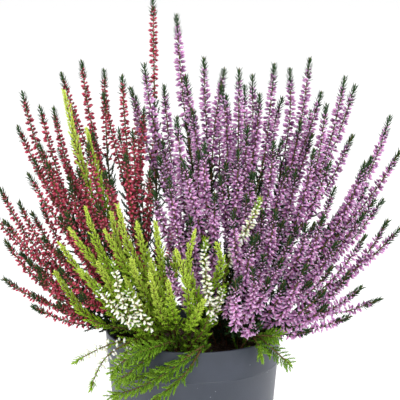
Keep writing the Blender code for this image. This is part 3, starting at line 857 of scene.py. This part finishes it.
def dress_spike(form, rng, kind, points, is_main):
    """Stem, buds, leaves and shoots of one spike."""
    line = SpikeLine(points)
    length = line.length
    tuft, florets, leafy = zones(kind, length, is_main)
    top = length - tuft
    bud_low = top - florets
    leaf_low = bud_low - leafy
    foot = STEM_DEPTH if is_main else 4.0
    radii = np.interp(line.along, [0.0, leaf_low, bud_low, top, length], [1.05, 0.85, 0.6, 0.42, 0.25])
    tones = np.interp(line.along, [0.0, leaf_low, bud_low, length], [0.05, 0.3, 0.7, 1.0])
    radii[0] = min(radii[0], STEM_RADIUS) if is_main else 0.5
    form.tube(line.line, line.ones, line.twos, radii, tones, STEM_EDGES, STEM_SLOT)
    leaf = bpy.context.scene.heather_leaves
    own = leaf.length / MM
    tip = leaf.tip_length / MM
    lean = rng.normal(0.0, 0.08)
    if kind in FOLIAGE:
        leafy_foliage(form, rng, line, kind, bud_low, lean)
    else:
        add_buds(form, rng, line, kind, bud_low, top + tuft * 0.15, 0.5 + lean)
        sizes = (own * 1.1, own * 1.1)
        add_leaves(form, rng, line, bud_low, top, BUD_LEAF_PITCH, sizes, (0.35, 0.6), (0.12, 0.4))
        sizes = (tip, tip * 0.9)
        add_leaves(form, rng, line, top - 5.0, length - 2.5, TUFT_PITCH, sizes, (0.5, 1.05), (0.08, 0.4))
    low = max(foot + 1.0, leaf_low)
    add_leaves(form, rng, line, low, bud_low + 1.0, STEM_LEAF_PITCH, (own, own), (0.5, 0.7), (0.05, 0.3))
    places = np.arange(low, bud_low + 6.0, SHOOT_PITCH)
    share = (places - leaf_low) / max(leafy, 1.0)
    lengths = rng.uniform(SHORTEST_SHOOT, LONGEST_SHOOTS[kind], len(places))
    lengths = lengths * np.interp(share, [0.6, 1.0], [1.0, 0.65])
    rises = rng.uniform(0.5, 0.95, len(places))
    add_shoots(form, rng, line, places, lengths, rises, 0.06 + 0.24 * share + lean)
    if is_main:
        # Shoots deep in the plant get the lowest tones, so their leaves carry the darkest painted shade.
        places = np.arange(foot + 2.0, leaf_low, INNER_PITCH)
        lengths = rng.uniform(*INNER_LENGTHS, len(places))
        tones = np.interp(places, [foot, leaf_low], [0.0, 0.1]) + rng.uniform(0.0, 0.08, len(places))
        add_shoots(form, rng, line, places, lengths, rng.uniform(0.3, 0.9, len(places)), tones)


LAYOUT = {}


def settled_sprays():
    """Kind and settled stem lines of every spray, worked out once."""
    if "sprays" not in LAYOUT:
        plan = plan_sprays()
        spikes = draw_sprays(plan, plan_holes(plan))
        lines = settle(spikes)
        LAYOUT["sprays"] = [
            (kind, [line for spike, line in zip(spikes, lines) if spike[0] == index])
            for index, (kind, _, _, _) in enumerate(plan)
        ]
    return LAYOUT["sprays"]


def dress_sprays(kind):
    """Dresses every spray of one kind. Each piece takes its solid's place."""
    materials = heather_materials(kind)
    number = 0
    for index, (own, lines) in enumerate(settled_sprays()):
        if own != kind:
            continue
        number += 1
        form = SprayForm()
        rng = np.random.default_rng(SEED * 100 + index)
        for side, points in enumerate(lines):
            dress_spike(form, rng, kind, points, side == 0)
        node = "%s_spray_%02d" % (kind, number)
        piece = form.build("leafy_" + node, materials)
        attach(piece, BODY)
        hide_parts(node)


def fill(tree, node, inputs):
    """Links each named input to the socket given for it, or sets its value."""
    for word, source in inputs.items():
        if isinstance(source, bpy.types.NodeSocket):
            tree.links.new(source, node.inputs[word])
        else:
            node.inputs[word].default_value = source


def new_node(tree, kind, inputs):
    node = tree.nodes.new("ShaderNode" + kind)
    fill(tree, node, inputs)
    return node


def blank_material(name, roughness, gloss=0.5):
    """A new material with its node tree and shader."""
    material = bpy.data.materials.new(name)
    material.use_nodes = True
    tree = material.node_tree
    shader = tree.nodes["Principled BSDF"]
    fill(tree, shader, {"Roughness": roughness, "Specular IOR Level": gloss})
    return material, tree, shader


def value_of(tree, word):
    """Socket of a value that the mesh carries."""
    node = new_node(tree, "Attribute", {})
    node.attribute_name = word
    return node.outputs["Fac"]


def ramp_of(tree, factor, stops):
    """Colour ramp through the given places and colours."""
    node = new_node(tree, "ValToRGB", {"Fac": factor})
    elements = node.color_ramp.elements
    while len(elements) < len(stops):
        elements.new(0.5)
    for element, (place, colour) in zip(elements, stops):
        element.position = place
        element.color = (*colour, 1.0)
    return node.outputs["Color"]


def blended(tree, factor, first, second, most=1.0):
    """Mix of two colours, each a socket or a plain colour, by a factor of up to most."""
    if most < 1.0:
        scale = new_node(tree, "Math", {0: factor, 1: most})
        scale.operation = "MULTIPLY"
        factor = scale.outputs[0]
    node = tree.nodes.new("ShaderNodeMix")
    node.data_type = "RGBA"
    tree.links.new(factor, node.inputs["Factor"])
    for word, source in (("A", first), ("B", second)):
        socket = next(s for s in node.inputs if s.name == word and s.type == "RGBA")
        if isinstance(source, bpy.types.NodeSocket):
            tree.links.new(source, socket)
        else:
            socket.default_value = (*source, 1.0)
    return next(s for s in node.outputs if s.type == "RGBA")


def step_between(tree, value, low, high):
    """0 below low, 1 above high, smooth between."""
    node = new_node(tree, "MapRange", {"From Min": low, "From Max": high, "Value": value})
    node.interpolation_type = "SMOOTHSTEP"
    return node.outputs["Result"]


def object_space(tree):
    return new_node(tree, "TexCoord", {}).outputs["Object"]


def noise_of(tree, scale, detail=3.0, roughness=0.55):
    """Noise in object space, scale in turns a metre."""
    inputs = {"Vector": object_space(tree), "Scale": scale, "Detail": detail, "Roughness": roughness}
    return new_node(tree, "TexNoise", inputs).outputs["Fac"]


def bump_from(tree, height, shader, distance, strength=1.0):
    bump = new_node(tree, "Bump", {"Distance": distance, "Strength": strength, "Height": height})
    fill(tree, shader, {"Normal": bump.outputs["Normal"]})


def bud_material(name, deep, light, tip, base):
    """Closed buds: a green calyx at the foot, deeper or lighter from bud to bud, paler ends."""
    material, tree, shader = blank_material(name, 0.55, 0.2)
    along = value_of(tree, "along")
    body = ramp_of(tree, value_of(tree, "tone"), ((0.12, deep), (0.85, light)))
    ended = blended(tree, step_between(tree, along, 0.55, 1.0), body, tip, 0.75)
    footed = blended(tree, step_between(tree, along, 0.0, 0.24), base, ended)
    fill(tree, shader, {"Base Color": footed, "Subsurface Weight": 0.12, "Subsurface Scale": 0.001})
    return material


def leaf_material(name, dark, middle, young):
    """Scale leaves: painted shade, darkest deep in the plant, fresh young green at the tips, lighter along
    their ends.
    """
    material, tree, shader = blank_material(name, 0.6, 0.1)
    # The lowest tones give the shaded green, which is painted shade deep in the plant.
    body = ramp_of(tree, value_of(tree, "tone"), ((0.05, dark), (0.45, middle), (0.9, young)))
    ended = blended(tree, step_between(tree, value_of(tree, "along"), 0.3, 1.0), body, young, 0.25)
    fill(tree, shader, {"Base Color": ended})
    return material


def stem_material(name, old, young):
    """Woody stems: red-brown below, tan between the buds."""
    material, tree, shader = blank_material(name, 0.7, 0.1)
    body = ramp_of(tree, value_of(tree, "tone"), ((0.05, old), (0.75, young)))
    fill(tree, shader, {"Base Color": body})
    return material


# Families of the bud and leaf shades of each plant.
PLANTS = {
    "red": ("crimson", "green"),
    "pink": ("mauve", "green"),
    "white": ("white", "lime"),
    "lime": ("white", "lime"),
    "brush": ("white", "brush"),
}


def shades_of(settings, family, words):
    return [getattr(settings, "%s_%s" % (family, word))[:] for word in words]


def heather_materials(kind):
    """Stem, leaf and bud materials of one plant, in the order of the slots."""
    leaf = bpy.context.scene.heather_leaves
    bud = bpy.context.scene.heather_buds
    bud_family, leaf_family = PLANTS[kind]
    return (
        stem_material(kind + " stem", leaf.old_wood[:], leaf.young_wood[:]),
        leaf_material(kind + " leaf", *shades_of(leaf, leaf_family, LEAF_WORDS)),
        bud_material(kind + " bud", *shades_of(bud, bud_family, BUD_WORDS), leaf.green_full[:]),
    )


class HEATHER_OT_crimson_sprays(Operator):
    """Crimson buds and leaves on the left plant"""

    bl_idname = "heather.crimson_sprays"
    bl_label = "Crimson Sprays"

    def execute(self, context):
        dress_sprays("red")
        return {"FINISHED"}


class HEATHER_OT_mauve_sprays(Operator):
    """Mauve buds and leaves on the right plant"""

    bl_idname = "heather.mauve_sprays"
    bl_label = "Mauve Sprays"

    def execute(self, context):
        dress_sprays("pink")
        return {"FINISHED"}


class HEATHER_OT_white_sprays(Operator):
    """White buds on the lime-leaved plant in front"""

    bl_idname = "heather.white_sprays"
    bl_label = "White Sprays"

    def execute(self, context):
        dress_sprays("white")
        return {"FINISHED"}


class HEATHER_OT_lime_sprays(Operator):
    """Lime leafy spikes of the plant in front"""

    bl_idname = "heather.lime_sprays"
    bl_label = "Lime Sprays"

    def execute(self, context):
        dress_sprays("lime")
        return {"FINISHED"}


class HEATHER_OT_leafy_brushes(Operator):
    """Mid-green leafy brushes that hang over the rim"""

    bl_idname = "heather.leafy_brushes"
    bl_label = "Leafy Brushes"

    def execute(self, context):
        dress_sprays("brush")
        return {"FINISHED"}


def rounded(radius, height, size, first, last):
    """Points of a rounding about a centre, between two turns in degrees from outward."""
    turns = np.radians(np.linspace(first, last, 6))
    return [(radius + size * math.cos(turn), height + size * math.sin(turn)) for turn in turns]


def pot_profile():
    """The pot's outline from its inside floor over the rim to the middle of its base."""
    inside = RIM_RADIUS - POT_WALL
    lip = POT_WALL / 2
    ring = wall_radius(RING_HEIGHT)
    return (
        [(0.0, POT_FLOOR), (wall_radius(POT_FLOOR) - POT_WALL, POT_FLOOR)]
        + rounded(inside + lip, POT_HEIGHT - lip, lip, 180, 0)
        + [(ring + 0.1, RING_HEIGHT + RING_OUT * 2)]
        + rounded(ring, RING_HEIGHT + RING_OUT / 2, RING_OUT, 60, -60)
        + [(ring - 0.05, RING_HEIGHT - RING_OUT)]
        + rounded(wall_radius(0.0) - FOOT_ROUND, FOOT_ROUND, FOOT_ROUND, 0, -90)
        + [(0.0, 0.0)]
    )


# Cells a metre of the pattern that places the specks.
SPECK_SCALE = 190.0


class HEATHER_OT_pot_finish(Operator):
    """Slate grey moulded plastic on the pot"""

    bl_idname = "heather.pot_finish"
    bl_label = "Pot Finish"

    def execute(self, context):
        settings = context.scene.heather_pot
        material, tree, shader = blank_material("slate plastic", 0.42)
        cloud = noise_of(tree, 38.0, 4.0)
        rubbed = step_between(tree, cloud, 0.35, 0.75)
        body = blended(tree, rubbed, settings.plastic[:], settings.plastic_light[:])
        specks = new_node(tree, "TexVoronoi", {"Scale": SPECK_SCALE, "Vector": object_space(tree)})
        dotted = step_between(tree, specks.outputs["Distance"], 0.075, 0.045)
        body = blended(tree, dotted, body, settings.speck[:], 0.5)
        fill(tree, shader, {"Base Color": body})
        bump_from(tree, noise_of(tree, 900.0, 2.0), shader, 0.00008, 0.6)
        pot = turned("moulded_pot", pot_profile(), POT_TURNS, context.scene.collection)
        pot.data.materials.append(material)
        make_active(pot)
        bpy.ops.object.shade_smooth_by_angle(angle=math.radians(40))
        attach(pot, BODY)
        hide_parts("pot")
        return {"FINISHED"}


# Sizes of the crumbs, how far they stay off the pot's outside and how deep they sit.
CRUMB_SIZES = (1.2, 3.4)
CRUMB_CLEAR = 5.0
CRUMB_SUNK = 0.4


class HEATHER_OT_peat_finish(Operator):
    """Moist peat with loose crumbs in the pot"""

    bl_idname = "heather.peat_finish"
    bl_label = "Peat Finish"

    def execute(self, context):
        settings = context.scene.heather_pot
        material, tree, shader = blank_material("peat", 0.95, 0.1)
        grain = noise_of(tree, 420.0, 6.0, 0.7)
        body = blended(tree, step_between(tree, grain, 0.45, 0.7), settings.peat[:], settings.peat_dry[:])
        fill(tree, shader, {"Base Color": body})
        bump_from(tree, grain, shader, 0.002)
        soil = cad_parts["soil"]
        for slot in soil.material_slots:
            slot.material = material
        rng = np.random.default_rng(SEED)
        count = settings.crumbs
        radius = np.sqrt(rng.uniform(0.0, 1.0, count)) * (RIM_RADIUS - CRUMB_CLEAR)
        turn = rng.uniform(0.0, math.tau, count)
        heights = np.full(count, POT_HEIGHT - SOIL_BELOW_RIM - CRUMB_SUNK)
        places = np.stack((radius * np.cos(turn), radius * np.sin(turn), heights), axis=1)
        ways = units(rng.normal(0.0, 1.0, (count, 3)) + [0.0, 0.0, 1.2])
        sizes = rng.uniform(*CRUMB_SIZES, count)
        form = SprayForm()
        form.copies(
            BUD_PATTERN, places, ways, rng.normal(0.0, 1.0, (count, 3)), sizes, sizes * 0.9,
            rng.uniform(0.0, 1.0, count), STEM_SLOT,
        )
        crumbs = form.build("peat_crumbs", (material,))
        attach(crumbs, BODY)
        return {"FINISHED"}


# Place of each softbox, the point that it lights, its width, and the setting with its watts.
SOFTBOXES = {
    "key_softbox": ((0.9, -1.6, 1.9), (0.0, 0.0, 0.2), 1.6, "key_power"),
    "fill_softbox": ((-1.8, -0.9, 1.1), (0.0, 0.0, 0.2), 1.4, "fill_power"),
    "edge_softbox": ((1.9, 0.5, 0.9), (0.0, 0.0, 0.15), 1.0, "edge_power"),
}
FLOOR_SIZE = 12.0
FLOOR_DROP = 0.0005
SENSOR_WIDTH = 36.0
# Width of the view in its own steps, and its middle in such steps above the rim and beside
# the pot's axis.
VIEW_STEPS = 400.0
VIEW_ABOVE_RIM = 127.6
VIEW_BESIDE = 6.9


def softbox(name, place, target, size, power):
    light = bpy.data.lights.new(name, "AREA")
    light.shape = "SQUARE"
    light.size = size
    light.energy = power
    thing = bpy.data.objects.new(name, light)
    bpy.context.scene.collection.objects.link(thing)
    thing.location = place
    thing.rotation_euler = (Vector(target) - Vector(place)).to_track_quat("-Z", "Y").to_euler()


class HEATHER_OT_stage(Operator):
    """Pale floor, soft lights and the camera"""

    bl_idname = "heather.stage"
    bl_label = "Stage"

    def execute(self, context):
        settings = context.scene.heather_stage
        bpy.ops.mesh.primitive_plane_add(size=FLOOR_SIZE, location=(0.0, 0.0, -FLOOR_DROP))
        floor = context.object
        floor.name = "studio_floor"
        material, tree, shader = blank_material("pale floor", 0.9)
        fill(tree, shader, {"Base Color": (*settings.floor_colour, 1.0)})
        floor.data.materials.append(material)
        for name, (place, target, size, power) in SOFTBOXES.items():
            softbox(name, place, target, size, getattr(settings, power))
        world = bpy.data.worlds.new("even sky")
        world.use_nodes = True
        sky = {"Color": (1.0, 1.0, 1.0, 1.0), "Strength": settings.sky}
        fill(world.node_tree, world.node_tree.nodes["Background"], sky)
        context.scene.world = world
        context.scene.view_settings.view_transform = "Standard"
        data = bpy.data.cameras.new("photo_camera")
        data.sensor_width = SENSOR_WIDTH
        data.lens = SENSOR_WIDTH * settings.distance / settings.field
        camera = bpy.data.objects.new("photo_camera", data)
        context.scene.collection.objects.link(camera)
        level, drop = math.cos(settings.tilt), math.sin(settings.tilt)
        step = settings.field / VIEW_STEPS
        above_rim = VIEW_ABOVE_RIM * step
        target = Vector((VIEW_BESIDE * step, above_rim * drop, POT_HEIGHT * MM + above_rim * level))
        camera.location = target - Vector((0.0, level, -drop)) * settings.distance
        camera.rotation_euler = (math.pi / 2 - settings.tilt, 0.0, 0.0)
        context.scene.camera = camera
        return {"FINISHED"}


STEPS = (
    HEATHER_OT_stage,
    HEATHER_OT_pot_finish,
    HEATHER_OT_peat_finish,
    HEATHER_OT_crimson_sprays,
    HEATHER_OT_mauve_sprays,
    HEATHER_OT_white_sprays,
    HEATHER_OT_lime_sprays,
    HEATHER_OT_leafy_brushes,
)


class HEATHER_PT_panel(Panel):
    """Sizes, colours and steps of the potted heather"""

    bl_idname = "HEATHER_PT_panel"
    bl_label = "Potted Heather"
    bl_space_type = "VIEW_3D"
    bl_region_type = "UI"
    bl_category = "Heather"

    def draw(self, context):
        for step in STEPS:
            self.layout.operator(step.bl_idname)
        for word in SETTINGS:
            box = self.layout.box()
            settings = getattr(context.scene, word)
            for name in settings.__annotations__:
                box.prop(settings, name)


SETTINGS = {
    "heather_buds": HeatherBudSettings,
    "heather_leaves": HeatherLeafSettings,
    "heather_pot": HeatherPotSettings,
    "heather_stage": HeatherStageSettings,
}
CLASSES = (*SETTINGS.values(), *STEPS, HEATHER_PT_panel)


def register():
    for item in CLASSES:
        bpy.utils.register_class(item)
    for word, group in SETTINGS.items():
        setattr(bpy.types.Scene, word, PointerProperty(type=group))


def unregister():
    for word in SETTINGS:
        delattr(bpy.types.Scene, word)
    for item in reversed(CLASSES):
        bpy.utils.unregister_class(item)


def main():
    register()
    bpy.ops.heather.stage()
    bpy.ops.heather.pot_finish()
    bpy.ops.heather.peat_finish()
    bpy.ops.heather.crimson_sprays()
    bpy.ops.heather.mauve_sprays()
    bpy.ops.heather.white_sprays()
    bpy.ops.heather.lime_sprays()
    bpy.ops.heather.leafy_brushes()
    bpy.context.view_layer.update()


if __name__ == "__main__":
    main()
